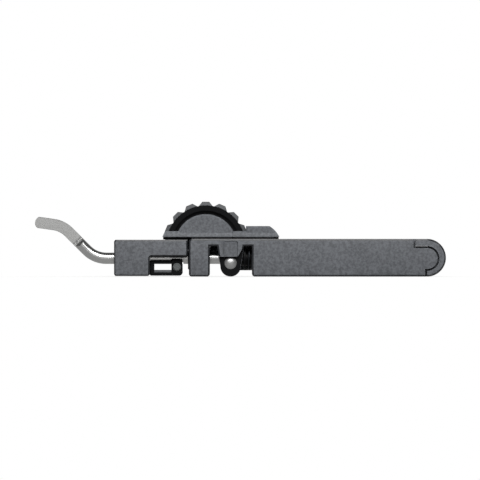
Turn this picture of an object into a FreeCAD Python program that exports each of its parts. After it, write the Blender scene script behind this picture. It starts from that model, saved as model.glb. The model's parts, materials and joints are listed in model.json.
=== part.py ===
import FreeCAD, Part
import math
import os

# Cable stripping tool, pen format, millimetres. X runs along the tool with the handle at +X, Z is up,
# the seen side is -Y. The origin is under the middle of the tool, on the surface it stands on.

# Handle body
tail_x = 72.1             # end of the tail
body_height = 13.2
body_thick = 12.4
side_bevel = 0.6          # bevel of the side edges
corner_round = 1.0        # rounding of the corners seen from the side
leg_x = -17.9             # front face of the leg
notch_1_x = -10.6         # front wall of the first notch
handle_x = 4.2            # front face of the handle
beam_height = 2.5         # beam over the notches
tongue_x = -3.3
tongue_root_half = 4.7
tongue_end_radius = 3.6
wall = 1.6                # wall of the hollow handle
rib_x = 21.0              # partition behind the spring
cavity_end_x = 55.0

# Tail bow
bow_width = 2.0
bow_lap = 4.1             # the bow's upper end reaches this much further forward than the lower
bow_drop = 0.25           # inner round below the outer one
bow_seam = 0.7            # groove between the bow and the shells
bow_groove_depth = 3.0
tang_length = 4.4
tang_half_height = 2.4
tang_thick = 1.8

# Head
head_x = -44.1
head_gap = 0.45           # head to leg at rest
head_drop = 0.3           # head top below the body top
head_lift = 0.2           # head underside above the body underside
head_thick = 12.0
head_bevel = 0.5
head_round = 0.8
undercut_x = -31.7
undercut_rise = 0.7       # ceiling of the undercut above the rod's axis
head_travel = 5.0

# Rod and hook
rod_radius = 2.0
rod_drop = 0.2            # axis below the middle of the body
rod_end_x = 17.0
bend_radius = 9.5
slope_deg = 45.0          # middle run of the hook
tip_slope_deg = 8.0       # last run of the hook
hook_foot_x = -50.9       # corner of the hook on the rod's axis
hook_rise = 11.4          # rise of the middle run, corner to corner
tip_reach = 9.8           # last run, from its corner to the end face
tip_dome = 1.1
flat_depth = 1.2          # depth of the ground flat at the tip
flat_end_x = -57.4
grind_radius = 3.0

# Fits
running_gap = 0.05        # shaft in a bush, radial
slide_gap = 0.1           # flat guides
free_gap = 0.3            # moving pieces that do not guide each other
stop_gap = 0.05
part_seam = 0.12          # line between two fixed pieces

# Spring
spring_wire_radius = 0.35
spring_turns = 10
turn_sides = 12           # straight runs in a turn
wire_sides = 6
washer_thick = 0.5
sleeve_length = 5.6       # sleeve of the washer inside the spring
sleeve_wall = 0.5
collar_x = 14.0           # spring side of the collar
collar_thick = 1.5
clip_thick = 0.6
clip_groove_depth = 0.45
clip_ring_width = 1.5
clip_opening = 1.1        # half width of the ring's mouth

# Bushes and pins
bush_wall = 0.6
bush_inset = 0.4          # bush ends inside the faces of the leg and the head
pin_drop = 1.64           # stop pin below the rod's axis
pin_head_radius = 2.15
pin_dome = 0.9
pin_shank_radius = 0.6
pin_upset_radius = 1.0
pin_recess = 2.0          # depth of the tongue's open front and of the washer's seat at the rear
recess_rise = 0.6         # top of the open front above the rod's axis
seat_thick = 0.6          # black seat under the pin's head
seat_inset = 0.1
pin_washer_radius = 1.85
neck_gap = 0.12
keeper_width = 4.4
keeper_height = 5.1
keeper_thick = 1.2
keeper_seam = 0.25        # line round the keeper
guide_pin_radius = 0.7
guide_pin_y = 4.95
guide_pin_rise = 2.6      # guide pins above the rod's axis
guide_pin_grip = 5.6

# Screws, six-sided
screw_radius = 0.95
screw_head_radius = 1.8
screw_head_height = 1.2
screw_sink = 0.2          # head below the surface
screw_skin = 2.2          # plastic left in front of the screw's end
leg_screw_x = -14.2
leg_screw_z = 2.8
middle_screw_x = 38.0
tail_screw_back = 2.0     # tail screw in front of the bow
boss_half = 2.3
head_screw_low_x = -40.5
head_screw_low = 2.5      # above the head's underside
head_screw_high_x = -29.2
head_screw_high = 2.6     # below the head's top

# Retainer clip
clip_half_width = 3.0
clip_lift = 0.1           # clip above the head's underside
clip_pivot_x = -32.4
clip_pivot_drop = 3.4     # pivot below the rod's axis
clip_pivot_radius = 1.2
clip_pin_radius = 0.55
clip_pin_half_length = 4.8
clip_link_half = 0.7
clip_root_thick = 1.3
clip_bar_height = 2.0
clip_bar_bevel = 0.8
clip_rail_drop = 2.0      # rail's underside below the rod's axis
clip_rail_height = 0.9
nose_x = -22.1
nose_half = 1.95
nose_round = 1.2
stud_radius = 1.45
stud_drop = 3.1           # stud below the rod's axis
stud_stand = 0.5
stud_bevel = 0.4
fork_length = 3.6
groove_depth = 0.55
groove_play = 0.45

# Thumbwheel
axle_x = -12.0
axle_drop = 2.07          # axle below the body's top
axle_radius = 1.0
axle_half_length = 5.0
wheel_tip = 15.1
lug_height = 1.8
lug_count = 16
lug_top = 2.4
lug_base = 4.9
lug_slant = 0.8           # lean of a lug's front and rear face
lug_root = 0.4            # lug sunk in the rim
wheel_width = 4.6
rim_width = 1.3
web_thick = 2.4
hub_radius = 1.8
wheel_travel_deg = 14.0
wheel_hidden_deg = 73.0   # where the rim goes under the deck
gear_module = 0.5
gear_teeth = 14
gear_width = 1.5
gear_backlash = 0.12
gear_addendum = 0.9       # in modules, as are the next two
gear_dedendum = 1.25
rack_dedendum = 1.2
pressure_deg = 20.0
gear_sector_deg = 38.5

# Wheel housing and thumb rest
housing_x = -27.2
housing_seam_x = -2.6
housing_lean = 0.9        # slant of the housing's front end
housing_gap = 0.7         # shadow gap over the body
skirt_thick = 11.8        # housing and thumb rest at their foot
skirt_height = 0.4
skirt_rise = 1.0          # sloping part of the skirt
cheek_thick = 10.7
cheek_bevel = 0.5
deck_height = 2.0
dome_radius = 10.7
ramp_x = 2.1
ramp_height = 3.8
ramp_round_x = 10.3
ramp_middle_x = 12.3
ramp_middle_height = 2.2
rest_end_x = 13.8
plinth_half = 4.0
key_depth = 1.9           # keys that the shells clamp
key_length = 2.6
key_y = 3.35
key_thick = 1.1
housing_key_x = -4.3
rest_key_x = 7.4

# Blade
blade_thick = 0.4
blade_bevel = 1.2
carrier_thick = 1.8
carrier_drop = 1.95       # top of the carrier's block below the wheel's axle, at the rack
carrier_shoulder = 0.5    # the same at the front, above the rod's axis
carrier_low = 0.9         # underside below the rod's axis
rack_back = 1.6
rack_reach = 1.2          # rack above the axle, in pitches
rivet_radius = 0.5
rivet_rise = 0.4          # above the rod's axis

# Values that follow from those above
body_half = body_thick / 2
notch_top_z = body_height - beam_height
tail_radius = body_height / 2
bow_inner_radius = tail_radius - bow_width - bow_drop
bow_centre_z = tail_radius - bow_drop
bow_bottom_x = tail_x - tail_radius
bow_top_x = bow_bottom_x - bow_lap
tail_screw_x = bow_top_x - tail_screw_back
rod_z = body_height / 2 - rod_drop
head_half = head_thick / 2
head_end_x = leg_x - head_gap
head_top_z = body_height - head_drop
undercut_z = rod_z + undercut_rise
bush_bore = rod_radius + running_gap
bush_radius = bush_bore + bush_wall
leg_bush_end_x = axle_x - hub_radius - 2 * free_gap
spring_outer = notch_top_z - rod_z - stop_gap
spring_mean_radius = spring_outer - spring_wire_radius
spring_bore = spring_outer + free_gap
sleeve_radius = rod_radius + free_gap + sleeve_wall
spring_washer_x = tongue_x + tongue_root_half
spring_x = spring_washer_x + washer_thick
ring_x = collar_x + collar_thick
ring_bore = rod_radius - clip_groove_depth
pin_z = rod_z - pin_drop
pin_floor_y = pin_recess - body_half
pin_seat_y = pin_floor_y - seat_thick
pin_right_x = tongue_x + pin_shank_radius + slide_gap
tongue_bush_end_x = tongue_x + tongue_end_radius
back_reach = pin_washer_radius + slide_gap + free_gap
recess_z = rod_z + recess_rise
neck_radius = pin_drop - pin_shank_radius - neck_gap
guide_pin_z = rod_z + guide_pin_rise
guide_tip_x = notch_1_x - free_gap - stop_gap
axle_z = body_height - axle_drop
wheel_radius = wheel_tip - lug_height
wheel_half = wheel_width / 2
wheel_room_half = wheel_half + free_gap
wheel_room_radius = wheel_tip + free_gap
wheel_sweep_deg = wheel_hidden_deg + wheel_travel_deg
gear_radius = gear_module * gear_teeth / 2
gear_tip = gear_radius + gear_addendum * gear_module
gear_pitch = math.pi * gear_module
gear_end_y = wheel_half + gear_width
rack_x = axle_x + gear_radius
rack_back_x = rack_x + gear_module + rack_back
rack_top_z = axle_z + rack_reach * gear_pitch
blade_travel = gear_radius * math.radians(wheel_travel_deg)
blade_y = rod_radius + slide_gap
carrier_y = blade_y + blade_thick
carrier_back_y = carrier_y + carrier_thick
carrier_low_z = rod_z - carrier_low
blade_x = notch_1_x + slide_gap
rivet_x = (notch_1_x + tongue_x - tongue_root_half) / 2
rivet_z = rod_z + rivet_rise
skirt_half = skirt_thick / 2
cheek_half = cheek_thick / 2
housing_z = body_height + housing_gap
deck_z = housing_z + deck_height
skirt_z = housing_z + skirt_height
groove_radius = rod_radius - groove_depth
fork_bore = groove_radius + slide_gap
clip_z = head_lift + clip_lift
clip_pivot_z = rod_z - clip_pivot_drop
clip_rail_z = rod_z - clip_rail_drop
stud_z = rod_z - stud_drop
clip_root_x = undercut_x + free_gap
nose_bush_x = (head_x + bush_inset, clip_pivot_x - clip_pivot_radius - free_gap)
shell_screws_xz = [(leg_screw_x, leg_screw_z), (middle_screw_x, tail_radius), (tail_screw_x, bow_centre_z)]
head_screws_xz = [
    (head_screw_low_x, head_lift + head_screw_low),
    (head_screw_high_x, head_top_z - head_screw_high),
]
beyond = 1.0              # how far a cutter runs past the face it opens
far = 200.0               # past the tool in any direction


def box(x0, x1, y0, y1, z0, z1):
    return Part.makeBox(x1 - x0, y1 - y0, z1 - z0, FreeCAD.Vector(x0, y0, z0))


def rod_along_x(radius, x0, x1, y=0.0, z=rod_z):
    return Part.makeCylinder(radius, x1 - x0, FreeCAD.Vector(x0, y, z), FreeCAD.Vector(1, 0, 0))


def rod_along_y(radius, y0, y1, x, z):
    return Part.makeCylinder(radius, y1 - y0, FreeCAD.Vector(x, y0, z), FreeCAD.Vector(0, 1, 0))


def ring_along_x(inner, outer, x0, x1):
    return rod_along_x(outer, x0, x1).cut(rod_along_x(inner, x0, x1))


def prism(points, y0, y1):
    """Extrude a closed outline, given as (x, z) corners, from y0 to y1."""
    corners = [FreeCAD.Vector(x, y0, z) for x, z in points]
    wire = Part.makePolygon(corners + corners[:1])
    return Part.Face(wire).extrude(FreeCAD.Vector(0, y1 - y0, 0))


def prism_along_x(points, x0, x1):
    """Extrude a closed outline, given as (y, z) corners, from x0 to x1."""
    corners = [FreeCAD.Vector(x0, y, z) for y, z in points]
    wire = Part.makePolygon(corners + corners[:1])
    return Part.Face(wire).extrude(FreeCAD.Vector(x1 - x0, 0, 0))


def hexagon_along_y(radius, y0, y1, x, z):
    """Six-sided bar; the radius is the inner one."""
    reach = radius / math.cos(math.pi / 6)
    angles = [math.pi / 3 * side for side in range(6)]
    return prism([(x + reach * math.cos(angle), z + reach * math.sin(angle)) for angle in angles], y0, y1)


def join(first, *others):
    return first.fuse(list(others)).removeSplitter()


def cut_all(shape, cutters):
    for cutter in cutters:
        shape = shape.cut(cutter)
    return shape


def round_corners(shape, corners, radius):
    """Round the edges that run along Y through the given (x, z) corners."""
    chosen = []
    for edge in shape.Edges:
        limits = edge.BoundBox
        for x, z in corners:
            off_x = max(abs(limits.XMin - x), abs(limits.XMax - x))
            off_z = max(abs(limits.ZMin - z), abs(limits.ZMax - z))
            if max(off_x, off_z) < stop_gap / 2 and limits.YLength > beyond:
                chosen.append(edge)
    return shape.makeFillet(radius, chosen)


def side_edges(shape, half):
    """The edges of the two flat side faces at y = -half and y = +half."""
    chosen = []
    for edge in shape.Edges:
        limits = edge.BoundBox
        if abs(limits.YMin + half) < 0.001 > abs(limits.YMax + half):
            chosen.append(edge)
        if abs(limits.YMin - half) < 0.001 > abs(limits.YMax - half):
            chosen.append(edge)
    return chosen


def bevel_sides(shape, half, bevel):
    return shape.makeChamfer(bevel, side_edges(shape, half))


def front_part(shape, y=0.0):
    return shape.common(box(-far, far, -far, y, -far, far))


def rear_part(shape, y=0.0):
    return shape.common(box(-far, far, y, far, -far, far))


def save(name, shape):
    shape.exportStep(os.path.join("parts", name + ".step"))


def dome_ball(radius, height):
    """Radius of the ball whose cap has this foot radius and height."""
    return (radius ** 2 + height ** 2) / (2 * height)


def tongue_form(inset):
    """Tongue between the notches: tapered, with a round end."""
    end_radius = tongue_end_radius - inset
    root_half = tongue_root_half - inset
    return join(
        prism(
            [
                (tongue_x - root_half, notch_top_z),
                (tongue_x - end_radius, tongue_end_radius),
                (tongue_x + end_radius, tongue_end_radius),
                (tongue_x + root_half, notch_top_z),
            ],
            -body_half,
            body_half,
        ),
        rod_along_y(end_radius, -body_half, body_half, tongue_x, tongue_end_radius),
    )


def body_block():
    """Outside form of the handle, leg, beam and tongue, both halves in one."""
    bar = join(
        box(leg_x, tail_x - tail_radius, -body_half, body_half, 0, body_height),
        rod_along_y(tail_radius, -body_half, body_half, tail_x - tail_radius, tail_radius),
    )
    bar = bar.cut(box(notch_1_x, handle_x, -body_half, body_half, 0, notch_top_z))
    bar = join(bar, tongue_form(0.0))
    corners = [(leg_x, 0), (leg_x, body_height), (notch_1_x, 0), (handle_x, 0)]
    return bevel_sides(round_corners(bar, corners, corner_round), body_half, side_bevel)


def bow_core(inset):
    """Everything inside the tail bow, pulled back by the inset."""
    radius = bow_inner_radius - inset
    return join(
        box(-far, bow_top_x - inset, -far, far, -far, far),
        box(-far, bow_bottom_x - inset, -far, far, -far, bow_centre_z + radius),
        rod_along_y(radius, -far, far, bow_bottom_x, bow_centre_z),
    )


def tang():
    return box(
        bow_top_x - tang_length,
        bow_bottom_x + bow_inner_radius + bow_width / 2,
        -tang_thick / 2,
        tang_thick / 2,
        bow_centre_z - tang_half_height,
        bow_centre_z + tang_half_height,
    )


def tail_bow(block):
    hole = hexagon_along_y(screw_radius + running_gap, -far, far, tail_screw_x, bow_centre_z)
    return join(block.cut(bow_core(0.0)), tang().cut(hole))


def wheel_room():
    """Space that the wheel sweeps in the middle of the body, with a pocket for its hub."""
    floor_z = axle_z - free_gap
    rise = far / math.tan(math.radians(wheel_sweep_deg))
    fan = prism(
        [
            (axle_x, floor_z),
            (axle_x + far, floor_z + rise),
            (axle_x + far, far),
            (axle_x - far, far),
            (axle_x - far, floor_z + rise),
        ],
        -wheel_room_half,
        wheel_room_half,
    )
    sweep = rod_along_y(wheel_room_radius, -wheel_room_half, wheel_room_half, axle_x, axle_z)
    hub = rod_along_y(hub_radius + free_gap, -wheel_room_half, wheel_room_half, axle_x, axle_z)
    return join(sweep.common(fan), hub)


def gear_room():
    """Space behind the wheel for the gear segment."""
    y0 = wheel_half
    y1 = gear_end_y + free_gap
    teeth = rod_along_y(gear_tip + free_gap, y0, y1, axle_x, axle_z)
    teeth = teeth.common(box(axle_x, far, -far, far, -far, far))
    return join(teeth, rod_along_y(hub_radius + free_gap, y0, y1, axle_x, axle_z))


def rack_room():
    return box(
        notch_1_x,
        rack_back_x + slide_gap,
        carrier_y - slide_gap,
        carrier_back_y + slide_gap,
        carrier_low_z - blade_travel - free_gap,
        rack_top_z + free_gap,
    )


def screws(places, half):
    """Six-sided screws put in from the rear, heads sunk below the rear face."""
    solids = []
    top = half - screw_sink
    seat = top - screw_head_height
    for x, z in places:
        head = hexagon_along_y(screw_head_radius, seat, top, x, z)
        solids.append(join(head, hexagon_along_y(screw_radius, screw_skin - half, seat, x, z)))
    return Part.makeCompound(solids)


def screw_holes(places, half):
    """Head recesses in the rear half, and holes on into the front half."""
    seat = half - screw_sink - screw_head_height
    cuts = []
    for x, z in places:
        cuts.append(hexagon_along_y(screw_head_radius + slide_gap, seat, half + beyond, x, z))
        cuts.append(hexagon_along_y(screw_radius + running_gap, screw_skin - half, seat, x, z))
    return Part.makeCompound(cuts)


def key_blocks(x):
    """The pair of keys under the housing and the thumb rest, clamped between the shells."""
    blocks = []
    for side in (-1, 1):
        y = side * key_y
        blocks.append(
            box(
                x - key_length / 2,
                x + key_length / 2,
                y - key_thick / 2,
                y + key_thick / 2,
                body_height - key_depth,
                housing_z,
            )
        )
    return Part.makeCompound(blocks)


def guide_rods(radius, x0, x1):
    sides = (-guide_pin_y, guide_pin_y)
    return Part.makeCompound([rod_along_x(radius, x0, x1, y, guide_pin_z) for y in sides])


def keeper_room(gap):
    return box(
        tongue_x - keeper_width / 2 - gap,
        tongue_x + keeper_width / 2 + gap,
        -body_half,
        keeper_thick - body_half,
        recess_z,
        recess_z + keeper_height + gap,
    )


def open_front(gap):
    """Outline of the tongue's open front, which runs up beside the keeper."""
    top_z = recess_z - gap
    side_x = tongue_x + keeper_width / 2 + keeper_seam + gap
    root_x = tongue_x + tongue_root_half
    low = box(notch_1_x + corner_round, handle_x - corner_round, -far, pin_floor_y, -beyond, top_z)
    side = prism([(side_x, top_z), (root_x, notch_top_z), (root_x, top_z)], -far, pin_floor_y)
    return join(low, side)


def shell_rooms():
    """All the spaces cut in the two handle shells."""
    cavity = box(rib_x + wall, cavity_end_x, wall - body_half, body_half - wall, wall, body_height - wall)
    boss = box(middle_screw_x - boss_half, middle_screw_x + boss_half, -far, far, -far, far)
    return [
        cavity.cut(boss),
        rod_along_x(spring_bore, handle_x - beyond, rib_x),
        rod_along_x(bush_radius, leg_x + bush_inset, leg_bush_end_x),
        rod_along_x(rod_radius + free_gap, leg_x - beyond, handle_x),
        rod_along_x(bush_radius, pin_right_x, tongue_bush_end_x),
        guide_rods(guide_pin_radius + running_gap, leg_x - beyond, notch_1_x - free_gap),
        wheel_room(),
        gear_room(),
        rack_room(),
        wheel_axle(),
        key_blocks(housing_key_x),
        key_blocks(rest_key_x),
        tang(),
        screw_holes(shell_screws_xz, body_half),
        open_front(0.0),
        keeper_room(keeper_seam),
        rod_along_y(pin_shank_radius, -body_half, body_half, tongue_x, pin_z),
        rod_along_y(pin_washer_radius + slide_gap, -pin_floor_y, body_half + beyond, tongue_x, pin_z),
    ]


def notch_backs():
    """Walls at the rear of both notches, behind the rod and the spring."""
    y1 = body_half - side_bevel
    first = box(notch_1_x, tongue_x - back_reach, spring_bore, y1, rod_z, notch_top_z)
    second = box(tongue_x + back_reach, handle_x, spring_bore, y1, rod_z - spring_outer, notch_top_z)
    return first, second


def handle_shells(block):
    """Handle halves: the line at the bow is a groove on both sides, closed in the middle."""
    middle = body_half - bow_groove_depth
    core = join(bow_core(bow_seam), bow_core(stop_gap).common(box(-far, far, -middle, middle, -far, far)))
    shell = cut_all(block.common(core), shell_rooms())
    return front_part(shell), join(rear_part(shell), *notch_backs())


def pin_seat():
    """Black plate in the tongue's open front, held by the pin's head."""
    plate = rear_part(tongue_form(seat_inset).common(open_front(part_seam)), pin_seat_y)
    return plate.cut(rod_along_y(pin_shank_radius, -body_half, body_half, tongue_x, pin_z))


def stop_pin():
    """Rivet with a domed head in front, upset over a washer at the rear."""
    cap_radius = dome_ball(pin_head_radius, pin_dome)
    cap = Part.makeSphere(cap_radius, FreeCAD.Vector(tongue_x, pin_seat_y - pin_dome + cap_radius, pin_z))
    cap = front_part(cap, pin_seat_y)
    rear_y = -pin_floor_y + washer_thick
    shank = rod_along_y(pin_shank_radius, pin_seat_y, rear_y, tongue_x, pin_z)
    return join(cap, shank, rod_along_y(pin_upset_radius, rear_y, rear_y + washer_thick, tongue_x, pin_z))


def pin_washer():
    y0 = -pin_floor_y
    y1 = y0 + washer_thick
    return rod_along_y(pin_washer_radius, y0, y1, tongue_x, pin_z).cut(
        rod_along_y(pin_shank_radius, y0, y1, tongue_x, pin_z)
    )


def spring_washer():
    """Washer at the tongue, with a sleeve that centres the spring."""
    washer = rod_along_x(spring_outer, spring_washer_x, spring_x)
    sleeve = rod_along_x(sleeve_radius, spring_x, spring_x + sleeve_length)
    bore = rod_along_x(rod_radius + free_gap, spring_washer_x, spring_x + sleeve_length)
    return join(washer, sleeve).cut(bore)


def helix_point(turn):
    """Point on the spring's centre line after so many turns."""
    length = collar_x - spring_x - 2 * spring_wire_radius
    angle = 2 * math.pi * turn
    return FreeCAD.Vector(
        spring_x + spring_wire_radius + length * turn / spring_turns,
        spring_mean_radius * math.sin(angle),
        rod_z + spring_mean_radius * math.cos(angle),
    )


def return_spring():
    """Coil round the sleeve: a six-sided wire in straight runs, mitred where they meet."""
    count = spring_turns * turn_sides
    path = [helix_point(index / turn_sides) for index in range(count + 1)]
    runs = [(path[index + 1] - path[index]).normalize() for index in range(count)]
    side = runs[0].cross(FreeCAD.Vector(1, 0, 0)).normalize()
    other = runs[0].cross(side)
    section = []
    for index in range(wire_sides):
        angle = 2 * math.pi * index / wire_sides
        spoke = side * math.cos(angle) + other * math.sin(angle)
        section.append(path[0] + spoke * spring_wire_radius)
    faces = [Part.Face(Part.makePolygon(section + section[:1]))]
    for index, run in enumerate(runs):
        mitre = run + runs[min(index + 1, count - 1)]
        following = [p + run * ((path[index + 1] - p).dot(mitre) / run.dot(mitre)) for p in section]
        for first in range(wire_sides):
            second = (first + 1) % wire_sides
            corners = [section[first], section[second], following[second], following[first]]
            faces.append(Part.Face(Part.makePolygon(corners + corners[:1])))
        section = following
    faces.append(Part.Face(Part.makePolygon(section + section[:1])))
    return Part.Solid(Part.Shell(faces))


def hook_path():
    """Centre line from the tip's dome to the rod's end: straight runs joined by arcs."""
    foot = FreeCAD.Vector(hook_foot_x, 0, rod_z)
    slope = math.radians(slope_deg)
    tip_slope = math.radians(tip_slope_deg)
    knee = foot + FreeCAD.Vector(-hook_rise / math.tan(slope), 0, hook_rise)
    tip = knee + FreeCAD.Vector(-math.cos(tip_slope), 0, math.sin(tip_slope)) * (tip_reach - tip_dome)
    end = FreeCAD.Vector(rod_end_x, 0, rod_z)
    edges = []
    last = tip
    for corner, before, after, turn in ((knee, tip, foot, slope - tip_slope), (foot, knee, end, slope)):
        reach = bend_radius * math.tan(turn / 2)
        way_in = (before - corner).normalize()
        way_out = (after - corner).normalize()
        start = corner + way_in * reach
        stop = corner + way_out * reach
        to_centre = (way_in + way_out).normalize()
        middle = corner + to_centre * (bend_radius / math.cos(turn / 2) - bend_radius)
        edges.append(Part.LineSegment(last, start).toShape())
        edges.append(Part.Arc(start, middle, stop).toShape())
        last = stop
    edges.append(Part.LineSegment(last, end).toShape())
    return tip, Part.Wire(edges)


def tip_grind():
    """Cutter for the flat at the tip: a plane that runs out through a round."""
    slope = math.radians(slope_deg)
    along = FreeCAD.Vector(-math.cos(slope), 0, math.sin(slope))
    across = FreeCAD.Vector(math.sin(slope), 0, math.cos(slope))
    end_z = rod_z + (hook_foot_x - flat_end_x) * math.tan(slope)
    face_y = flat_depth - rod_radius
    centre = FreeCAD.Vector(flat_end_x, face_y - grind_radius, end_z)
    reach = tip_reach + hook_rise
    wheel = Part.makeCylinder(grind_radius, 2 * reach, centre - across * reach, across)
    near = [centre - across * reach, centre + across * reach]
    corners = near + [point + along * 2 * reach for point in reversed(near)]
    return wheel.fuse(prism([(point.x, point.z) for point in corners], face_y - grind_radius, face_y))


def hook_rod():
    """Hook and rod in one: sweep, tip flat, clip groove, stop neck and ring groove."""
    tip, path = hook_path()
    tip_slope = math.radians(tip_slope_deg)
    facing = FreeCAD.Vector(math.cos(tip_slope), 0, -math.sin(tip_slope))
    section = Part.Wire(Part.makeCircle(rod_radius, tip, facing))
    ball_radius = dome_ball(rod_radius, tip_dome)
    apex = tip - facing * tip_dome
    dome = Part.makeCylinder(rod_radius + beyond, tip_dome, apex, facing)
    dome = dome.common(Part.makeSphere(ball_radius, apex + facing * ball_radius, facing))
    rod = join(path.makePipeShell([section], True, False), dome).cut(tip_grind())
    groove_half = fork_length / 2 + groove_play
    neck_x0 = tongue_x - pin_shank_radius - stop_gap
    neck_x1 = tongue_x + pin_shank_radius + head_travel + free_gap
    grooves = [
        (neck_radius, neck_x0, neck_x1),
        (groove_radius, nose_x - groove_half, nose_x + groove_half),
        (ring_bore, ring_x, ring_x + clip_thick),
    ]
    return cut_all(rod, [ring_along_x(radius, rod_radius + beyond, x0, x1) for radius, x0, x1 in grooves])


def collar_clip():
    """Open ring in the rod's end groove."""
    ring = ring_along_x(ring_bore, ring_bore + clip_ring_width, ring_x, ring_x + clip_thick)
    return ring.cut(box(ring_x, ring_x + clip_thick, -clip_opening, clip_opening, rod_z, far))


def head_block():
    block = box(head_x, head_end_x, -head_half, head_half, head_lift, head_top_z)
    block = block.cut(box(undercut_x, head_end_x, -far, far, 0, undercut_z))
    corners = [
        (head_x, head_lift),
        (head_x, head_top_z),
        (undercut_x, head_lift),
        (undercut_x, undercut_z),
        (head_end_x, undercut_z),
    ]
    return bevel_sides(round_corners(block, corners, head_round), head_half, head_bevel)


def clip_room():
    """Pocket in the head for the knuckle of the retainer clip."""
    radius = clip_pivot_radius + free_gap
    width = clip_half_width + slide_gap
    pocket = rod_along_y(radius, -width, width, clip_pivot_x, clip_pivot_z)
    z0 = clip_pivot_z - radius
    z1 = clip_pivot_z + radius
    return join(pocket, box(clip_pivot_x, undercut_x + beyond, -width, width, z0, z1))


def head_lip():
    """Step on the rear half that closes the line between the head and the leg."""
    return box(
        head_end_x - head_round,
        leg_x - stop_gap,
        wheel_room_half,
        head_half - head_bevel,
        undercut_z,
        head_top_z - head_bevel,
    )


def head_shells():
    slot_x = axle_x - wheel_room_radius
    slot_z = axle_z - free_gap
    rooms = [
        rod_along_x(rod_radius + slide_gap, head_x - beyond, head_end_x + beyond),
        rod_along_x(bush_radius, *nose_bush_x),
        box(slot_x, head_end_x + beyond, -wheel_room_half, wheel_room_half, slot_z, far),
        guide_rods(guide_pin_radius, head_end_x - guide_pin_grip, head_end_x + beyond),
        clip_room(),
        clip_pin(),
        screw_holes(head_screws_xz, head_half),
    ]
    shell = cut_all(join(head_block(), head_lip()), rooms)
    return front_part(shell), rear_part(shell)


def clip_pin():
    reach = clip_pin_half_length
    return rod_along_y(clip_pin_radius, -reach, reach, clip_pivot_x, clip_pivot_z)


def retainer_clip():
    """Sprung loop under the rod, with a fork that drops into the rod's groove."""
    half = clip_half_width
    nose_x0 = nose_x - nose_half
    nose_x1 = nose_x + nose_half
    fork_x0 = nose_x - fork_length / 2
    fork_x1 = nose_x + fork_length / 2
    bar_top = clip_z + clip_bar_height
    rail_top = clip_rail_z + clip_rail_height
    nose = box(nose_x0, nose_x1, -half, half, clip_z, rail_top)
    nose = round_corners(nose, [(nose_x1, clip_z), (nose_x1, rail_top)], nose_round)
    bar = box(clip_root_x, nose_x, -half, half, clip_z, bar_top)
    for side in (-1, 1):
        edge = [(side * half, bar_top), (side * half, bar_top - clip_bar_bevel)]
        edge.append((side * (half - clip_bar_bevel), bar_top))
        bar = bar.cut(prism_along_x(edge, clip_root_x + clip_root_thick, nose_x0))
    clip = join(
        box(clip_root_x, clip_root_x + clip_root_thick, -half, half, clip_z, rail_top),
        bar,
        box(clip_root_x, nose_x, -half, half, clip_rail_z, rail_top),
        nose,
        box(fork_x0, fork_x1, -half, half, clip_rail_z, rod_z - stop_gap),
        rod_along_y(clip_pivot_radius, -half, half, clip_pivot_x, clip_pivot_z),
        box(
            clip_pivot_x,
            clip_root_x + clip_root_thick,
            -half,
            half,
            clip_pivot_z - clip_link_half,
            clip_pivot_z + clip_link_half,
        ),
    )
    cutters = [
        rod_along_x(rod_radius + slide_gap, undercut_x - beyond, fork_x0),
        rod_along_x(rod_radius + slide_gap, fork_x1, head_end_x),
        rod_along_x(fork_bore, fork_x0, fork_x1),
        rod_along_y(clip_pin_radius + running_gap, -half, half, clip_pivot_x, clip_pivot_z),
        rod_along_y(stud_radius, -half, half, nose_x, stud_z),
    ]
    return cut_all(clip, cutters)


def clip_stud():
    """Cross stud through the nose, bevelled at both ends."""
    reach = clip_half_width + stud_stand
    stud = rod_along_y(stud_radius, -reach, reach, nose_x, stud_z)
    return stud.makeChamfer(stud_bevel, side_edges(stud, reach))


def turned(shape, angle_deg):
    """Turn a wheel feature about the axle; a positive angle leans it towards the handle."""
    copy = shape.copy()
    copy.rotate(FreeCAD.Vector(axle_x, 0, axle_z), FreeCAD.Vector(0, 1, 0), angle_deg)
    return copy


def wheel_sector():
    """Wedge that the rim and the web fill: out of sight at both ends of the travel."""
    steps = 6
    corners = [(axle_x, axle_z)]
    for step in range(steps + 1):
        angle = math.radians(-wheel_sweep_deg + (wheel_sweep_deg + wheel_hidden_deg) * step / steps)
        corners.append((axle_x + far * math.sin(angle), axle_z + far * math.cos(angle)))
    return prism(corners, -far, far)


def gear_segment():
    """Involute teeth on the rear of the hub, only where they meet the rack."""
    pressure = math.radians(pressure_deg)
    base = gear_radius * math.cos(pressure)
    root = gear_radius - gear_module * gear_dedendum
    half_angle = (gear_pitch / 2 - gear_backlash) / (2 * gear_radius)
    start = half_angle + math.tan(pressure) - pressure
    flank = [(hub_radius, start)]
    steps = 4
    for step in range(steps + 1):
        radius = base + (gear_tip - base) * step / steps
        roll = math.acos(base / radius)
        flank.append((radius, start - math.tan(roll) + roll))
    outline = [(r, -a) for r, a in flank] + [(r, a) for r, a in reversed(flank)]
    corners = [(axle_x + r * math.cos(a), axle_z + r * math.sin(a)) for r, a in outline]
    tooth = prism(corners, wheel_half, gear_end_y)
    teeth = [turned(tooth, step * 360.0 / gear_teeth) for step in (-1, 0, 1)]
    spread = far * math.tan(math.radians(gear_sector_deg))
    far_x = axle_x + far
    wedge = prism([(axle_x, axle_z), (far_x, axle_z - spread), (far_x, axle_z + spread)], -far, far)
    disc = rod_along_y(root, wheel_half, gear_end_y, axle_x, axle_z).common(wedge)
    return join(rod_along_y(hub_radius, wheel_half, gear_end_y, axle_x, axle_z), disc, *teeth)


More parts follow.
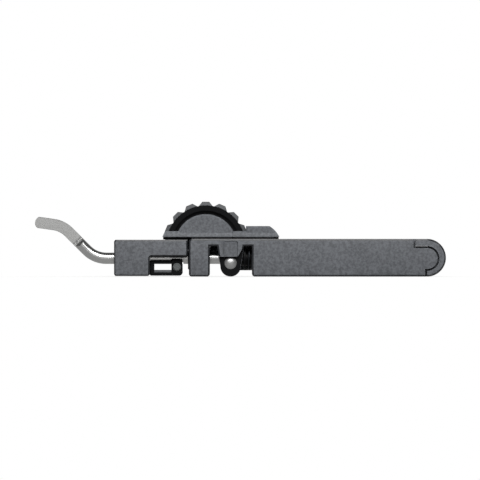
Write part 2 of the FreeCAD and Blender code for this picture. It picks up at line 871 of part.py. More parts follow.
def wheel_lug():
    """Grip lug at the top of the wheel, narrower and thinner towards its tip."""
    foot = axle_z + wheel_radius - lug_root
    tip = axle_z + wheel_tip
    side_view = prism(
        [
            (axle_x - lug_base / 2, foot),
            (axle_x - lug_top / 2, tip),
            (axle_x + lug_top / 2, tip),
            (axle_x + lug_base / 2, foot),
        ],
        -wheel_half,
        wheel_half,
    )
    thin = wheel_half - lug_slant
    end_outline = [(-wheel_half, foot), (-thin, tip), (thin, tip), (wheel_half, foot)]
    return side_view.common(prism_along_x(end_outline, -far, far))


def thumbwheel():
    """Sector wheel: lugs, rim and web, with the hub and its gear segment."""
    disc = rod_along_y(wheel_radius, -wheel_half, wheel_half, axle_x, axle_z)
    lug = wheel_lug()
    crown = join(disc, *[turned(lug, 360.0 / lug_count * step) for step in range(lug_count)])
    inner = wheel_radius - rim_width
    crown = crown.cut(rod_along_y(inner, -wheel_half, -web_thick / 2, axle_x, axle_z))
    crown = crown.cut(rod_along_y(inner, web_thick / 2, wheel_half, axle_x, axle_z))
    hub = rod_along_y(hub_radius, -wheel_half, wheel_half, axle_x, axle_z)
    wheel = join(crown.common(wheel_sector()), hub, gear_segment())
    return wheel.cut(rod_along_y(axle_radius + running_gap, -far, far, axle_x, axle_z))


def wheel_axle():
    return rod_along_y(axle_radius, -axle_half_length, axle_half_length, axle_x, axle_z)


def friction_washer():
    y0 = -wheel_room_half
    y1 = -wheel_half - stop_gap
    return rod_along_y(hub_radius, y0, y1, axle_x, axle_z).cut(
        rod_along_y(axle_radius + running_gap, y0, y1, axle_x, axle_z)
    )


def flared(shape):
    """Give a side view its end view: upright cheeks on a flared skirt, the cheeks' upper edges bevelled."""
    half = [
        (skirt_half, housing_z),
        (skirt_half, skirt_z),
        (cheek_half, skirt_z + skirt_rise),
        (cheek_half, far),
    ]
    other_half = [(-y, z) for y, z in reversed(half)]
    shape = shape.common(prism_along_x(half + other_half, -far, far)).removeSplitter()
    upper = [e for e in side_edges(shape, cheek_half) if e.CenterOfMass.z > deck_z - stop_gap]
    return shape.makeChamfer(cheek_bevel, upper)


def wheel_housing():
    """Deck with a domed cheek on a set-back plinth, in halves: the wheel's slot runs through it."""
    dome = rod_along_y(dome_radius, -cheek_half, cheek_half, axle_x, axle_z)
    dome = bevel_sides(dome, cheek_half, cheek_bevel)
    dome = dome.common(box(-far, housing_seam_x, -far, far, housing_z, far))
    deck = prism(
        [
            (housing_x, housing_z),
            (housing_seam_x, housing_z),
            (housing_seam_x, deck_z),
            (housing_x + housing_lean, deck_z),
        ],
        -skirt_half,
        skirt_half,
    )
    plinth = box(leg_x + corner_round, housing_seam_x, -plinth_half, plinth_half, body_height, housing_z)
    shape = join(flared(deck), dome, plinth, *key_blocks(housing_key_x).Solids)
    return front_part(shape, -wheel_room_half), rear_part(shape, wheel_room_half)


def thumb_rest():
    """Ramp behind the wheel, rounded down at its end."""
    x0 = housing_seam_x + part_seam
    ramp_z = housing_z + ramp_height
    arc = [
        FreeCAD.Vector(ramp_round_x, -skirt_half, ramp_z),
        FreeCAD.Vector(ramp_middle_x, -skirt_half, housing_z + ramp_middle_height),
        FreeCAD.Vector(rest_end_x, -skirt_half, housing_z),
    ]
    run = [(rest_end_x, housing_z), (x0, housing_z), (x0, deck_z)]
    run += [(ramp_x, deck_z), (ramp_x, ramp_z), (ramp_round_x, ramp_z)]
    corners = [FreeCAD.Vector(x, -skirt_half, z) for x, z in run]
    outline = Part.Wire([Part.Arc(*arc).toShape()] + Part.makePolygon(corners).Edges)
    shape = flared(Part.Face(outline).extrude(FreeCAD.Vector(0, skirt_thick, 0)))
    plinth = box(x0, rest_end_x - corner_round, -plinth_half, plinth_half, body_height, housing_z)
    shape = join(shape, plinth, *key_blocks(rest_key_x).Solids)
    return shape.cut(rod_along_y(wheel_room_radius, -wheel_room_half, wheel_room_half, axle_x, axle_z))


def rack_outline():
    """Rack bar with the blade's block below it; the teeth face the wheel's axle."""
    root_x = rack_x + gear_module * rack_dedendum
    tip_x = rack_x - gear_module * gear_addendum
    slope = math.tan(math.radians(pressure_deg))
    half = (gear_pitch - gear_backlash * 2) / 4
    root_half = half + (root_x - rack_x) * slope
    tip_half = half - (rack_x - tip_x) * slope
    points = [(rack_back_x, carrier_low_z), (rack_back_x, rack_top_z), (root_x, rack_top_z)]
    for step in (0.5, -0.5):
        z = axle_z + step * gear_pitch
        points += [(root_x, z + root_half), (tip_x, z + tip_half)]
        points += [(tip_x, z - tip_half), (root_x, z - root_half)]
    points += [(root_x, axle_z - carrier_drop), (blade_x, rod_z + carrier_shoulder)]
    points.append((blade_x, carrier_low_z))
    return points


def blade_rivet():
    return rod_along_y(rivet_radius, blade_y, carrier_back_y, rivet_x, rivet_z)


def blade_carrier():
    return prism(rack_outline(), carrier_y, carrier_back_y).cut(blade_rivet())


def cutting_blade():
    """Thin blade beside the rod, ground on its front face; at rest its edge is level with the rod."""
    edge_z = rod_z - rod_radius
    top_z = axle_z - hub_radius - free_gap
    outline = [(blade_y, top_z), (carrier_y, top_z), (carrier_y, edge_z), (blade_y, edge_z + blade_bevel)]
    plate = prism_along_x(outline, blade_x + slide_gap, tongue_x - tongue_root_half - slide_gap)
    return plate.cut(blade_rivet())


os.makedirs("parts", exist_ok=True)

block = body_block()
front_shell, rear_shell = handle_shells(block)
save("front_shell", front_shell)
save("rear_shell", rear_shell)
save("tail_bow", tail_bow(block))
save("shell_screws", screws(shell_screws_xz, body_half))
save("leg_bush", ring_along_x(bush_bore, bush_radius, leg_x + bush_inset, leg_bush_end_x))
save("tongue_bush", ring_along_x(bush_bore, bush_radius, pin_right_x, tongue_bush_end_x))
save("pin_seat", pin_seat())
save("stop_pin", stop_pin())
save("pin_washer", pin_washer())
save("pin_keeper", keeper_room(0.0))
save("spring_washer", spring_washer())
save("return_spring", return_spring())

head_front_shell, head_rear_shell = head_shells()
save("head_front_shell", head_front_shell)
save("head_rear_shell", head_rear_shell)
save("nose_bush", ring_along_x(bush_bore, bush_radius, *nose_bush_x))
save("head_screws", screws(head_screws_xz, head_half))
save("guide_pins", guide_rods(guide_pin_radius, head_end_x - guide_pin_grip, guide_tip_x))
save("clip_pin", clip_pin())
save("retainer_clip", retainer_clip())
save("clip_stud", clip_stud())

save("hook_rod", hook_rod())
save("spring_collar", ring_along_x(rod_radius, spring_outer, collar_x, ring_x))
save("collar_clip", collar_clip())

front_housing, rear_housing = wheel_housing()
save("thumbwheel", thumbwheel())
save("wheel_axle", wheel_axle())
save("friction_washer", friction_washer())
save("wheel_housing", front_housing)
save("wheel_housing_rear", rear_housing)
save("thumb_rest", thumb_rest())
save("blade_carrier", blade_carrier())
save("cutting_blade", cutting_blade())
save("blade_rivet", blade_rivet())
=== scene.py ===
import json
import math

import bmesh
import bpy
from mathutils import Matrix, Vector


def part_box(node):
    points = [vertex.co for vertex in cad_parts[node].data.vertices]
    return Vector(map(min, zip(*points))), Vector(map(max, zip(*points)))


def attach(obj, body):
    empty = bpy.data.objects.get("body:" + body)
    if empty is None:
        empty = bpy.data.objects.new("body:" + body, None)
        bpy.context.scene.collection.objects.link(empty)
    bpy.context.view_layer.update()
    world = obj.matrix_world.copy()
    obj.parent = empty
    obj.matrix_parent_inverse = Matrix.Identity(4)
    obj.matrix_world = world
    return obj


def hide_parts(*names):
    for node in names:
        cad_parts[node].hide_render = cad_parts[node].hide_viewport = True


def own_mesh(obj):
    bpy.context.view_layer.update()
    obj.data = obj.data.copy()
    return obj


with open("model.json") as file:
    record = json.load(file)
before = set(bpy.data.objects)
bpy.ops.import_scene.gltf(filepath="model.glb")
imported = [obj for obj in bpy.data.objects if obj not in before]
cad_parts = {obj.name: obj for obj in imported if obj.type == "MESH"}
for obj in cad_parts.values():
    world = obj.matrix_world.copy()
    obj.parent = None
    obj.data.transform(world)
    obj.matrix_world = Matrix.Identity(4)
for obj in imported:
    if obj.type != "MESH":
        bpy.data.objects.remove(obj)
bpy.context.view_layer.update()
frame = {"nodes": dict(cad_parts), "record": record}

# Cable stripping tool. Metres, in the frame of the solids: hook at -X, handle at +X, seen side at -Y.

MM = 0.001
WHITE = (1, 1, 1, 1)

nodes = frame["nodes"]
subparts = frame["record"]["subparts"]
behaviour = frame["record"]["behaviour"]
slot_of = {part["node"]: part["material_slot"] for part in subparts}
body_of = {name: body for body, names in behaviour["bodies"].items() for name in names}


# Node helpers
MIX_FIRST, MIX_SECOND, MIX_RESULT = 6, 7, 2     # a Mix node's sockets for colours


def new_material(name):
    material = bpy.data.materials.new(name)
    material.use_nodes = True
    tree = material.node_tree
    shader = tree.nodes["Principled BSDF"]
    return material, tree, shader


def add(tree, kind, inputs=None, **settings):
    node = tree.nodes.new(kind)
    for key, value in settings.items():
        setattr(node, key, value)
    for key, value in (inputs or {}).items():
        node.inputs[key].default_value = value
    return node


def wire(tree, source, output, target, socket):
    tree.links.new(source.outputs[output], target.inputs[socket])


def place(tree, stretch=(1.0, 1.0, 1.0)):
    """Object coordinates, stretched."""
    coords = add(tree, "ShaderNodeTexCoord")
    mapping = add(tree, "ShaderNodeMapping", {"Scale": stretch})
    wire(tree, coords, "Object", mapping, "Vector")
    return mapping


def noise(tree, where, scale, detail, rough):
    node = add(tree, "ShaderNodeTexNoise", {"Scale": scale, "Detail": detail, "Roughness": rough})
    wire(tree, where, "Vector", node, "Vector")
    return node


def ramp(tree, source, output, stops):
    node = add(tree, "ShaderNodeValToRGB")
    elements = node.color_ramp.elements
    while len(elements) < len(stops):
        elements.new(0.5)
    for element, (position, colour) in zip(elements, stops):
        element.position = position
        element.color = (*colour, 1.0)
    wire(tree, source, output, node, "Fac")
    return node


def grey(value):
    return (value, value, value)


def tint(colour, factor):
    return tuple(min(1.0, channel * factor) for channel in colour)


def mix_colour(tree, blend, first, second):
    """Blend two colour outputs in full."""
    node = add(tree, "ShaderNodeMix", {"Factor": 1.0}, data_type="RGBA", blend_type=blend)
    tree.links.new(first, node.inputs[MIX_FIRST])
    tree.links.new(second, node.inputs[MIX_SECOND])
    return node.outputs[MIX_RESULT]


# Materials. A noise is given as its scale per metre, its detail and its roughness.
GRAIN = (2600.0, 4.0, 0.6)
BLOTCH = (1100.0, 3.0, 0.65)
CLOUD = (90.0, 2.0, 0.5)
LINES = (1.0, 4.0, 0.6)         # scaled by the stretch of its coordinates
STAIN = (160.0, 2.0, 0.5)
ALONG_X = (300.0, 9000.0, 9000.0)
ALL_WAYS = (4000.0, 4000.0, 4000.0)

LOW, MIDDLE, HIGH = 0.3, 0.5, 0.7       # span that a noise's values fill
BLOTCH_SPAN = (0.38, 0.6)
GRAIN_TONES = (0.86, 1.14)
CLOUD_TONE = 0.9
PLASTIC_GLOSS = (-0.06, 0.08)   # change of roughness over the grain
PLASTIC_RELIEF = 0.5
FINE_DEPTH = 0.012 * MM
STEEL_TONES = (0.88, 1.1)
STAIN_TONE = 0.92
STEEL_GLOSS = (-0.05, 0.07)

RIM_REACH = 0.35 * MM           # width of the painted highlight or painted shade line by the edges
RIM_SAMPLES = 6
RIM_LIGHT_SPAN = (0.93, 0.995)  # cosine of the turn at the edge, from full effect to none
RIM_SHADE_SPAN = (0.95, 0.998)


def edge_turn(tree):
    """Cosine between the surface and the same surface with rounded edges: below 1 only by the edges."""
    rim = add(tree, "ShaderNodeBevel", {"Radius": RIM_REACH}, samples=RIM_SAMPLES)
    geometry = add(tree, "ShaderNodeNewGeometry")
    facing = add(tree, "ShaderNodeVectorMath", operation="DOT_PRODUCT")
    wire(tree, rim, "Normal", facing, 0)
    wire(tree, geometry, "Normal", facing, 1)
    return facing


def moulded_plastic(
    name, colour, roughness, specular, blotches=0.0, depth=FINE_DEPTH, rim_light=0.0, rim_shade=0.0
):
    """Spark-eroded mould texture: grain, blotches, slow clouds, and a painted highlight or painted shade
    line by the edges.
    """
    material, tree, shader = new_material(name)
    where = place(tree)
    fine = noise(tree, where, *GRAIN)
    blotch = noise(tree, where, *BLOTCH)
    slow = noise(tree, where, *CLOUD)
    dark_grain, pale_grain = (tint(colour, tone) for tone in GRAIN_TONES)
    grains = ramp(tree, fine, "Fac", [(LOW, dark_grain), (MIDDLE, colour), (HIGH, pale_grain)])
    spots = ramp(tree, blotch, "Fac", [(BLOTCH_SPAN[0], grey(1 - blotches)), (BLOTCH_SPAN[1], grey(1.0))])
    clouds = ramp(tree, slow, "Fac", [(LOW, grey(CLOUD_TONE)), (HIGH, grey(1.0))])
    spotted = mix_colour(tree, "MULTIPLY", grains.outputs["Color"], spots.outputs["Color"])
    mixed = mix_colour(tree, "MULTIPLY", spotted, clouds.outputs["Color"])
    # Painted highlight: a paler line by the edges
    if rim_light:
        full, none = RIM_LIGHT_SPAN
        painted_rim_highlight = ramp(tree, edge_turn(tree), "Value", [(full, tint(colour, rim_light)), (none, grey(0.0))])
        mixed = mix_colour(tree, "ADD", mixed, painted_rim_highlight.outputs["Color"])
    # Painted shade: a darker line by the edges
    if rim_shade:
        full, none = RIM_SHADE_SPAN
        dark = ramp(tree, edge_turn(tree), "Value", [(full, grey(1 - rim_shade)), (none, grey(1.0))])
        mixed = mix_colour(tree, "MULTIPLY", mixed, dark.outputs["Color"])
    tree.links.new(mixed, shader.inputs["Base Color"])
    smooth, rough = (grey(roughness + change) for change in PLASTIC_GLOSS)
    sheen = ramp(tree, fine, "Fac", [(LOW, smooth), (HIGH, rough)])
    wire(tree, sheen, "Color", shader, "Roughness")
    heights = mix_colour(tree, "ADD", fine.outputs["Color"], blotch.outputs["Color"])
    bump = add(tree, "ShaderNodeBump", {"Strength": PLASTIC_RELIEF, "Distance": depth})
    tree.links.new(heights, bump.inputs["Height"])
    wire(tree, bump, "Normal", shader, "Normal")
    shader.inputs["Specular IOR Level"].default_value = specular
    return material


def drawn_steel(name, colour, roughness, stretch, scratch, relief=0.4):
    """Metal with fine lines along one direction."""
    material, tree, shader = new_material(name)
    lines = noise(tree, place(tree, stretch), *LINES)
    cloud = noise(tree, place(tree), *STAIN)
    dark_line, pale_line = (tint(colour, tone) for tone in STEEL_TONES)
    tone = ramp(tree, lines, "Fac", [(LOW, dark_line), (HIGH, pale_line)])
    stain = ramp(tree, cloud, "Fac", [(LOW, grey(STAIN_TONE)), (HIGH, grey(1.0))])
    mixed = mix_colour(tree, "MULTIPLY", tone.outputs["Color"], stain.outputs["Color"])
    tree.links.new(mixed, shader.inputs["Base Color"])
    smooth, rough = (grey(roughness + change) for change in STEEL_GLOSS)
    gloss = ramp(tree, lines, "Fac", [(LOW, smooth), (HIGH, rough)])
    wire(tree, gloss, "Color", shader, "Roughness")
    bump = add(tree, "ShaderNodeBump", {"Strength": relief, "Distance": scratch})
    wire(tree, lines, "Fac", bump, "Height")
    wire(tree, bump, "Normal", shader, "Normal")
    shader.inputs["Metallic"].default_value = 1.0
    return material


# rim_light paints a paler line by the shells' edges: painted highlight
shell_grey = moulded_plastic(
    "shell_grey", (0.175, 0.184, 0.2), 0.55, 0.3, blotches=0.36, depth=0.03 * MM, rim_light=0.3
)
# Shell bevels painted near-black: painted shade along the edges
shell_edge_shade = moulded_plastic("shell_edge_shade", (0.022, 0.024, 0.028), 0.38, 0.5)
wheel_black = moulded_plastic("wheel_black", (0.004, 0.0042, 0.005), 0.5, 0.12)
# Lug bevels painted pale as painted highlight, with painted shade lines round their edges
wheel_edge_highlight_and_shade = moulded_plastic("wheel_edge_highlight_and_shade", (0.12, 0.124, 0.13), 0.5, 0.2, rim_shade=0.95)
# Clip bevels painted paler than the clip: painted highlight
clip_edge_highlight = moulded_plastic("clip_edge_highlight", (0.1, 0.105, 0.112), 0.45, 0.5)
stud_grey = moulded_plastic("stud_grey", (0.13, 0.139, 0.139), 0.45, 0.4)
hook_steel = drawn_steel("hook_steel", (0.6, 0.6, 0.59), 0.26, ALONG_X, 0.002 * MM, relief=0.1)
pin_steel = drawn_steel("pin_steel", (0.5, 0.5, 0.5), 0.45, ALL_WAYS, 0.003 * MM)
plain_steel = drawn_steel("plain_steel", (0.42, 0.42, 0.42), 0.38, ALL_WAYS, 0.004 * MM)
spring_black = drawn_steel("spring_black", (0.03, 0.032, 0.036), 0.45, ALL_WAYS, 0.004 * MM)
screw_black = drawn_steel("screw_black", (0.03, 0.03, 0.032), 0.5, ALL_WAYS, 0.004 * MM)
bush_brass = drawn_steel("bush_brass", (0.55, 0.42, 0.2), 0.35, ALONG_X, 0.004 * MM)

FINISHES = {
    "body_plastic": shell_grey,
    "black_plastic": wheel_black,
    "stud_plastic": stud_grey,
    "bush_brass": bush_brass,
    "bright_steel": hook_steel,
    "plain_steel": plain_steel,
    "spring_steel": spring_black,
    "screw_steel": screw_black,
}
# Solids that look different from their slot: the guide pins are painted dark as painted shade where they
# show in the gap between head and leg. Bevels painted darker or paler than their solid, as painted shade and
# painted highlight
NODE_FINISHES = {"stop_pin": pin_steel, "guide_pins": screw_black}
PAINTED_EDGES = {
    "front_shell": shell_edge_shade,
    "rear_shell": shell_edge_shade,
    "head_front_shell": shell_edge_shade,
    "head_rear_shell": shell_edge_shade,
    "tail_bow": shell_edge_shade,
    "thumbwheel": wheel_edge_highlight_and_shade,
    "pin_seat": wheel_edge_highlight_and_shade,
    "retainer_clip": clip_edge_highlight,
}


# Pieces
def finish_nodes():
    """Give each solid its material by its slot."""
    for name, solid in nodes.items():
        solid.data.materials.clear()
        solid.data.materials.append(NODE_FINISHES.get(name, FINISHES[slot_of[name]]))


def new_object(name, data):
    made = bpy.data.objects.new(name, data)
    bpy.context.scene.collection.objects.link(made)
    return made


def finished_mesh(name, mesh_edit):
    mesh = bpy.data.meshes.new(name)
    mesh_edit.to_mesh(mesh)
    mesh_edit.free()
    return mesh


def join_rings(mesh_edit, before, after, smooth):
    """Faces between two rings of as many points."""
    count = len(before)
    for side in range(count):
        beside = (side + 1) % count
        face = mesh_edit.faces.new((before[side], before[beside], after[beside], after[side]))
        face.smooth = smooth


def add_piece(name, mesh, node):
    """Put a finished mesh in place of a solid, on the solid's body."""
    piece = new_object(name, mesh)
    mesh.materials.append(FINISHES[slot_of[node]])
    mesh.materials.append(PAINTED_EDGES.get(node, FINISHES[slot_of[node]]))
    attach(piece, body_of[node])
    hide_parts(node)
    return piece


def add_detail(name, mesh, body, slot):
    """A small piece that stands for no solid."""
    piece = new_object(name, mesh)
    mesh.materials.append(FINISHES[slot])
    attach(piece, body)


# Return spring
COIL_TURNS = 10
COIL_STEPS = 32                 # rings in a turn
WIRE_SIDES = 10
WIRE_RADIUS = 0.35 * MM


def spring_coil():
    """Round wire on a helix, in the return spring's place."""
    low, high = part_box("return_spring")
    washer_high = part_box("spring_washer")[1]
    axis_z = (low.z + high.z) / 2
    mean = washer_high.z - axis_z - WIRE_RADIUS
    start_x = low.x + WIRE_RADIUS
    length = high.x - low.x - 2 * WIRE_RADIUS
    mesh_edit = bmesh.new()
    rings = []
    count = COIL_TURNS * COIL_STEPS
    rise = length / COIL_TURNS / (2 * math.pi)
    for index in range(count + 1):
        angle = 2 * math.pi * index / COIL_STEPS
        outward = Vector((0, math.sin(angle), math.cos(angle)))
        centre = Vector((start_x + length * index / count, 0, axis_z)) + outward * mean
        forward = Vector((rise, mean * math.cos(angle), -mean * math.sin(angle))).normalized()
        sideways = forward.cross(outward)
        ring = []
        for side in range(WIRE_SIDES):
            turn = 2 * math.pi * side / WIRE_SIDES
            spoke = outward * math.cos(turn) + sideways * math.sin(turn)
            ring.append(mesh_edit.verts.new(centre + spoke * WIRE_RADIUS))
        rings.append(ring)
    for before, after in zip(rings, rings[1:]):
        join_rings(mesh_edit, before, after, smooth=True)
    mesh_edit.faces.new(list(reversed(rings[0])))
    mesh_edit.faces.new(rings[-1])
    bmesh.ops.recalc_face_normals(mesh_edit, faces=mesh_edit.faces)
    piece = add_piece("spring_coil", finished_mesh("spring_coil", mesh_edit), "return_spring")
    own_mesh(piece)


# Copies of moulded pieces: their bevels are smoother than the textured faces, and painted darker as painted
# shade or paler as painted highlight
SEAM_ANGLE = math.radians(20.0)
SLANTED = (0.2, 0.8)            # how far a bevel's normal points sideways
LUG_SLANT = (0.2, 0.95)         # the same for the wheel's lugs
PAINTED_EDGE_INDEX = 1
TOLERANCE = 0.002 * MM
STRIPS = 12                     # strips that a curved side is cut into
BODY_CROWN = 0.42 * MM          # how far the body's sides curve in at the top and the underside
HEAD_CROWN = 0.34 * MM
AXLE = Vector((-12.0 * MM, 0, 11.13 * MM))      # on the thumbwheel's axis
VALLEY = (13.15 * MM, 13.45 * MM)   # span of radius that holds the floors of the wheel's valleys
FULL_VALLEY = 13.8 * MM         # radius that they are raised to


def open_copy(node, slanted=SLANTED):
    """A solid's mesh, ready to be changed, with the bevels marked."""
    mesh_edit = bmesh.new()
    mesh_edit.from_mesh(nodes[node].data)
    bmesh.ops.remove_doubles(mesh_edit, verts=mesh_edit.verts, dist=TOLERANCE)
    mesh_edit.normal_update()
    for face in mesh_edit.faces:
        # bevel faces take the material of painted shade or painted highlight
        if slanted[0] < abs(face.normal.y) < slanted[1]:
            face.material_index = PAINTED_EDGE_INDEX
    return mesh_edit


def close_copy(mesh_edit, node):
    """Shade the copy, sharp along its seams, and put it in the solid's place."""
    mesh_edit.normal_update()
    for edge in mesh_edit.edges:
        edge.smooth = len(edge.link_faces) == 2 and edge.calc_face_angle() < SEAM_ANGLE
    for face in mesh_edit.faces:
        face.smooth = True
    name = node + "_dressed"
    add_piece(name, finished_mesh(name, mesh_edit), node)


def dressed(node):
    close_copy(open_copy(node), node)


def crowned(node, crown, low_z, high_z, half):
    """A copy whose two sides curve in a little towards the top and the underside."""
    mesh_edit = open_copy(node)
    middle = (low_z + high_z) / 2
    reach = (high_z - low_z) / 2
    for step in range(1, STRIPS):
        level = low_z + (high_z - low_z) * step / STRIPS
        everything = list(mesh_edit.verts) + list(mesh_edit.edges) + list(mesh_edit.faces)
        bmesh.ops.bisect_plane(
            mesh_edit, geom=everything, dist=TOLERANCE, plane_co=(0, 0, level), plane_no=(0, 0, 1),
        )
    for vert in mesh_edit.verts:
        if abs(vert.co.y) > half - TOLERANCE:
            part = (vert.co.z - middle) / reach
            vert.co.y -= math.copysign(crown * part ** 2, vert.co.y)
    close_copy(mesh_edit, node)


def wheel_copy():
    """Thumbwheel with shallower valleys."""
    mesh_edit = open_copy("thumbwheel", LUG_SLANT)
    for vert in mesh_edit.verts:
        reach = math.hypot(vert.co.x - AXLE.x, vert.co.z - AXLE.z)
        if VALLEY[0] < reach < VALLEY[1]:
            vert.co.x = AXLE.x + (vert.co.x - AXLE.x) * FULL_VALLEY / reach
            vert.co.z = AXLE.z + (vert.co.z - AXLE.z) * FULL_VALLEY / reach
    close_copy(mesh_edit, "thumbwheel")


# Black strips of painted shade in narrow gaps. A range across the tool, in Y, is mirrored for the other
# side.
# Painted shade: a black strip in the gap between the housing's skirt and the sliding head
HEAD_SHADE_X = (-26.95 * MM, -18.2 * MM)
HEAD_SHADE_Y = (2.75 * MM, 3.95 * MM)
HEAD_SHADE_GAP = 0.1 * MM
HEAD_SHADE_HEIGHT = 0.95 * MM
DECK_RISE = 2.7 * MM            # housing's deck above the body
# Painted shade: a black strip in the seam between the wheel housing and the thumb rest
SEAM_Y = (2.75 * MM, 4.8 * MM)
SEAM_DEPTH = 0.3 * MM           # top of the painted-shade strip below the deck
REST_SHADE_START = 1.6 * MM         # front end of the painted-shade strip, before the thumb rest's tip
REST_INSET = 0.25 * MM          # rear end of the painted-shade strip, before the tip
REST_GAP = 0.68 * MM            # a little less than the thumb rest is above the body
REST_Y = (0.0, 4.4 * MM)
UNDERCUT_X = -31.7 * MM         # head's wall in front of the retainer clip
# Painted shade: a black plate behind the gap between the head's wall and the retainer clip
CLIP_SHADE_WIDTH = 0.75 * MM
CLIP_SHADE_Y = (3.3 * MM, 3.8 * MM)
CLIP_SHADE_Z = (0.5 * MM, 5.6 * MM)
BOTH_SIDES = (1, -1)
FAR_SIDE = (1,)


def strips(name, x_range, y_range, z_range, body="body", sides=BOTH_SIDES):
    """Black strips of painted shade, one on each named side of the middle plane."""
    mesh_edit = bmesh.new()
    for side in sides:
        made = bmesh.ops.create_cube(mesh_edit, size=1.0)
        for vert in made["verts"]:
            vert.co.x = x_range[vert.co.x > 0]
            vert.co.y = side * y_range[vert.co.y > 0]
            vert.co.z = z_range[vert.co.z > 0]
    bmesh.ops.recalc_face_normals(mesh_edit, faces=mesh_edit.faces)
    add_detail(name, finished_mesh(name, mesh_edit), body, "black_plastic")


def gap_strips():
    """Painted shade: black strips over the sliding head, beside and under the thumb rest, and behind the
    clip.
    """
    head_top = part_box("head_front_shell")[1].z
    head_shade_low = head_top + HEAD_SHADE_GAP
    strips("head_shade_strips", HEAD_SHADE_X, HEAD_SHADE_Y, (head_shade_low, head_shade_low + HEAD_SHADE_HEIGHT))
    seam_x = (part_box("wheel_housing")[1].x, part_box("thumb_rest")[0].x)
    body_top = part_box("front_shell")[1].z
    deck_z = body_top + DECK_RISE
    strips("seam_shade_strips", seam_x, SEAM_Y, (body_top, deck_z - SEAM_DEPTH))
    rest_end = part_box("thumb_rest")[1].x
    rest_x = (rest_end - REST_SHADE_START, rest_end - REST_INSET)
    strips("rest_shade_strips", rest_x, REST_Y, (body_top, body_top + REST_GAP))
    clip_shade_x = (UNDERCUT_X, UNDERCUT_X + CLIP_SHADE_WIDTH)
    strips("clip_shade_plate", clip_shade_x, CLIP_SHADE_Y, CLIP_SHADE_Z, "head", FAR_SIDE)


# Black rings of painted shade round the rod: where it leaves the leg, and between the tongue and the
# spring's washer
SHADE_RING_BORE = 2.04 * MM
SHADE_RING_SIDES = 40
ROD_Z = 6.4 * MM                # rod's axis above the underside
LEG_SHADE_RING = (0.35 * MM, 3.9 * MM)        # thickness and radius
SPRING_SHADE_RING = (0.9 * MM, 2.6 * MM)


def rod_shade_ring(name, face_x, thick, outer_radius):
    """Black ring of painted shade round the rod, in front of a face."""
    mesh_edit = bmesh.new()
    rings = []
    for x in (face_x, face_x - thick):
        for radius in (SHADE_RING_BORE, outer_radius):
            ring = []
            for side in range(SHADE_RING_SIDES):
                turn = 2 * math.pi * side / SHADE_RING_SIDES
                point = (x, radius * math.cos(turn), ROD_Z + radius * math.sin(turn))
                ring.append(mesh_edit.verts.new(point))
            rings.append(ring)
    inner, outer, inner_front, outer_front = rings
    around = (inner, outer, outer_front, inner_front, inner)
    for first, second in zip(around, around[1:]):
        join_rings(mesh_edit, first, second, smooth=False)
    bmesh.ops.recalc_face_normals(mesh_edit, faces=mesh_edit.faces)
    add_detail(name, finished_mesh(name, mesh_edit), "body", "black_plastic")


finish_nodes()
spring_coil()
low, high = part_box("rear_shell")
for node in ("front_shell", "rear_shell", "tail_bow"):
    crowned(node, BODY_CROWN, low.z, high.z, high.y)
low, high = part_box("head_rear_shell")
for node in ("head_front_shell", "head_rear_shell"):
    crowned(node, HEAD_CROWN, low.z, high.z, high.y)
for node in ("wheel_housing", "wheel_housing_rear", "thumb_rest", "retainer_clip", "pin_seat"):
    dressed(node)
wheel_copy()
gap_strips()
rod_shade_ring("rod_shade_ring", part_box("front_shell")[0].x, *LEG_SHADE_RING)
rod_shade_ring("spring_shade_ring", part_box("spring_washer")[0].x, *SPRING_SHADE_RING)


# Floor
FLOOR_HALF = 3.0
FLOOR_DROP = 0.02 * MM
FLOOR_BOUNCE = (0.2, 0.2, 0.2, 1)       # floor's colour as it lights the tool
FLOOR_SHADED = (0.85, 0.85, 0.85, 1)    # floor's colour where it shows the shadow
FLOOR_SHEEN = 0.42              # how bright the floor is in reflections
SHADOW_REACH = (0.11, 0.05)     # half sizes of the part of the floor that shows the shadow
SHADOW_FADE = {"From Min": 0.5, "From Max": 1.0, "To Min": 0.7, "To Max": 1.0}


def any_seen_ray(tree):
    """1 for camera, glossy and transmission rays."""
    path = add(tree, "ShaderNodeLightPath")
    first = add(tree, "ShaderNodeMath", operation="MAXIMUM")
    both = add(tree, "ShaderNodeMath", operation="MAXIMUM")
    wire(tree, path, "Is Camera Ray", first, 0)
    wire(tree, path, "Is Glossy Ray", first, 1)
    wire(tree, first, 0, both, 0)
    wire(tree, path, "Is Transmission Ray", both, 1)
    return both


def mix_shaders(tree, factor, output, first, second):
    node = add(tree, "ShaderNodeMixShader")
    wire(tree, factor, output, node, 0)
    wire(tree, first, 0, node, 1)
    wire(tree, second, 0, node, 2)
    return node


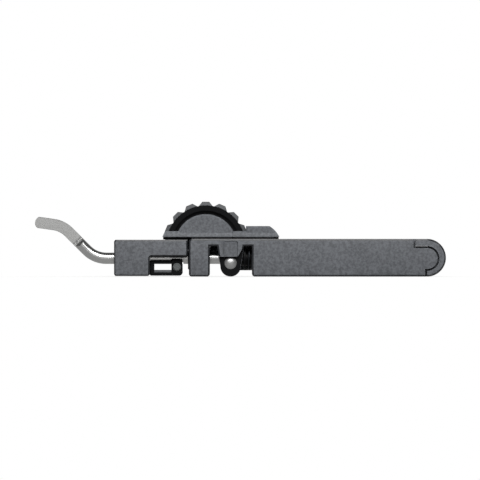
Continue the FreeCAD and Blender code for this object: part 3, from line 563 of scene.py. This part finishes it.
def floor():
    """Pale floor: white to the camera, dimmer in reflections, with the tool's shadow near it."""
    mesh = bpy.data.meshes.new("floor")
    corners = [(-FLOOR_HALF, -FLOOR_HALF, 0), (FLOOR_HALF, -FLOOR_HALF, 0)]
    corners += [(FLOOR_HALF, FLOOR_HALF, 0), (-FLOOR_HALF, FLOOR_HALF, 0)]
    mesh.from_pydata(corners, [], [(0, 1, 2, 3)])
    plane = new_object("floor", mesh)
    plane.location.z = -FLOOR_DROP
    material, tree, shader = new_material("floor_white")
    out = tree.nodes["Material Output"]
    tree.nodes.remove(shader)
    bare = add(tree, "ShaderNodeBsdfDiffuse", {"Color": FLOOR_BOUNCE})
    pale = add(tree, "ShaderNodeBsdfDiffuse", {"Color": FLOOR_SHADED})
    glow = add(tree, "ShaderNodeEmission", {"Color": WHITE, "Strength": 1.0})
    dim = add(tree, "ShaderNodeEmission", {"Color": WHITE, "Strength": FLOOR_SHEEN})
    near = place(tree, (1 / SHADOW_REACH[0], 1 / SHADOW_REACH[1], 0.0))
    distance = add(tree, "ShaderNodeVectorMath", operation="LENGTH")
    wire(tree, near, "Vector", distance, 0)
    fade = add(tree, "ShaderNodeMapRange", SHADOW_FADE)
    wire(tree, distance, "Value", fade, "Value")
    lifted = mix_shaders(tree, fade, "Result", pale, glow)
    path = add(tree, "ShaderNodeLightPath")
    seen = mix_shaders(tree, path, "Is Camera Ray", dim, lifted)
    chosen = mix_shaders(tree, any_seen_ray(tree), 0, bare, seen)
    wire(tree, chosen, 0, out, "Surface")
    mesh.materials.append(material)


# Light
AMBIENT = 0.1
CEILING = 0.08                  # how bright the studio's ceiling is in reflections
FRONT_ROOM = 0.12               # the same for the room on the camera's side
CEILING_FADE = {"From Min": 0.3, "From Max": 0.6, "To Min": 1.0, "To Max": CEILING}
FRONT_FADE = {"From Min": -0.5, "From Max": 0.0, "To Min": FRONT_ROOM, "To Max": 1.0}
LAMPS = {                       # place, aim, size and power
    "key": ((0.0, -0.68, 0.62), (0, 0, 0.01), (0.8, 0.4), 8.6),
    "rear": ((0.0, 0.75, 0.5), (0, 0, 0.01), (0.9, 0.5), 7.0),
    "fill": ((0.0, -1.0, 0.02), (0, 0, 0.02), (0.3, 0.3), 0.35),
}


def surroundings():
    """White to the camera; in reflections a white backdrop under a dark ceiling, and a dim room in front."""
    world = bpy.data.worlds.new("studio")
    bpy.context.scene.world = world
    world.use_nodes = True
    tree = world.node_tree
    tree.nodes.clear()
    out = add(tree, "ShaderNodeOutputWorld")
    coords = add(tree, "ShaderNodeTexCoord")
    parts = add(tree, "ShaderNodeSeparateXYZ")
    wire(tree, coords, "Generated", parts, 0)
    height = add(tree, "ShaderNodeMapRange", CEILING_FADE)
    wire(tree, parts, "Z", height, "Value")
    depth = add(tree, "ShaderNodeMapRange", FRONT_FADE)
    wire(tree, parts, "Y", depth, "Value")
    room = add(tree, "ShaderNodeMath", operation="MULTIPLY")
    wire(tree, height, "Result", room, 0)
    wire(tree, depth, "Result", room, 1)
    path = add(tree, "ShaderNodeLightPath")
    shown = add(tree, "ShaderNodeMath", operation="MAXIMUM")
    wire(tree, room, 0, shown, 0)
    wire(tree, path, "Is Camera Ray", shown, 1)
    soft = add(tree, "ShaderNodeBackground", {"Color": WHITE, "Strength": AMBIENT})
    white = add(tree, "ShaderNodeBackground", {"Color": WHITE})
    wire(tree, shown, 0, white, "Strength")
    chosen = mix_shaders(tree, any_seen_ray(tree), 0, soft, white)
    wire(tree, chosen, 0, out, "Surface")


def area_light(name, place_at, aim, size, power):
    data = bpy.data.lights.new(name, "AREA")
    data.shape = "RECTANGLE"
    data.size, data.size_y = size
    data.energy = power
    lamp = new_object(name, data)
    lamp.location = place_at
    lamp.rotation_mode = "QUATERNION"
    lamp.rotation_quaternion = (Vector(aim) - Vector(place_at)).to_track_quat("-Z", "Y")
    return lamp


# Camera, in the photograph's frame
IMAGE_SIDE = 480                # pixels
MM_PER_PIXEL = 0.35             # at the front face of the body
UNDERSIDE_ROW = 276.6           # pixel row of the tool's underside
LENS = 400.0
SENSOR = 36.0
LEVEL = math.radians(90)        # pitch of a camera that looks level


def camera():
    """Level side view: image centre and scale as in the photograph, on the plane of the front face."""
    data = bpy.data.cameras.new("camera")
    data.lens = LENS
    data.sensor_width = SENSOR
    view = new_object("camera", data)
    width = IMAGE_SIDE * MM_PER_PIXEL * MM
    face_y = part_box("front_shell")[0].y
    distance = width / 2 / (SENSOR / 2 / LENS)
    centre_z = (UNDERSIDE_ROW - IMAGE_SIDE / 2) * MM_PER_PIXEL * MM
    view.location = (0.0, face_y - distance, centre_z)
    view.rotation_euler = (LEVEL, 0, 0)
    bpy.context.scene.camera = view


floor()
surroundings()
lamps = {name: area_light(name, *settings) for name, settings in LAMPS.items()}
lamps["rear"].visible_glossy = False
for name in ("rear", "fill"):
    lamps[name].visible_camera = False
camera()
bpy.context.scene.view_settings.view_transform = "Standard"
